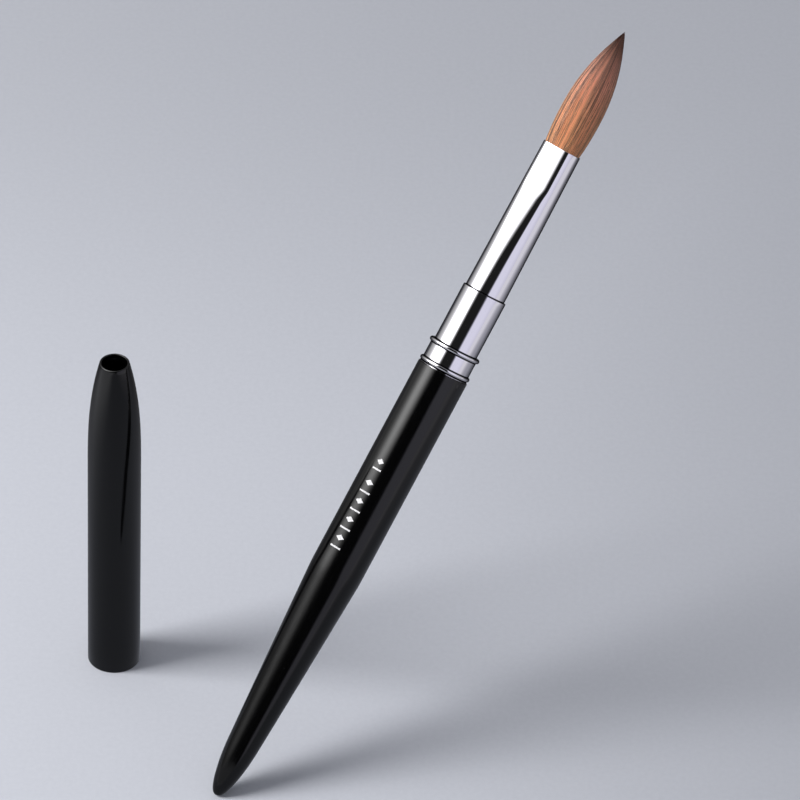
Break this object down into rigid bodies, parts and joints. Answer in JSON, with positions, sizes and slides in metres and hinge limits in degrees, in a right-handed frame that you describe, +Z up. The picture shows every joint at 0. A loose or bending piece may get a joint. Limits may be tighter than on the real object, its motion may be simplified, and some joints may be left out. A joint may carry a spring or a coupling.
{
  "type": "acrylic nail brush",
  "caption": "Nail brush with a black tapered handle, a beaded chrome collar and ferrule and a pointed sable tuft, leaning beside its loose open-ended black cap.",
  "frame": {"origin": "where the rounded tail of the leaning brush touches the surface that it and its cap stand on", "axes": "+Z up, out of the surface; -Y towards the viewer's side, +X to the right, the way the brush leans"},
  "size_m": [0.1054, 0.0883, 0.1314],
  "materials": {
    "black_lacquer": "gloss",
    "chrome": "polished",
    "plug_plastic": "moulded",
    "epoxy": "cast",
    "sable_hair": "natural hair",
    "hair_root": "natural hair",
    "thread": "twisted thread",
    "liner_plastic": "moulded"
  },
  "bodies": {
    "brush": {"handle_shell": "black_lacquer", "collar_sleeve": "chrome", "joining_plug": "plug_plastic", "ferrule": "chrome", "glue_plug": "epoxy", "hair_roots": "hair_root", "binding_thread": "thread"},
    "tuft": {"hair_tuft": "sable_hair"},
    "cap": {"cap_shell": "black_lacquer", "cap_liner": "liner_plastic"}
  },
  "joints": [
    {"name": "cap_lift", "type": "slide", "parent": "brush", "child": "cap", "axis": [0, 0, 1], "range_m": [0, 0.12]},
    {"name": "hair_flex", "type": "hinge", "parent": "brush", "child": "tuft", "pos_m": [0.06502, 0.07433, 0.11136], "axis": [0.8266, -0.5508, -0.1154], "range_deg": [-25, 25], "stiffness_Nm_per_rad": 0.004, "deforming": ["hair_tuft"]}
  ]
}
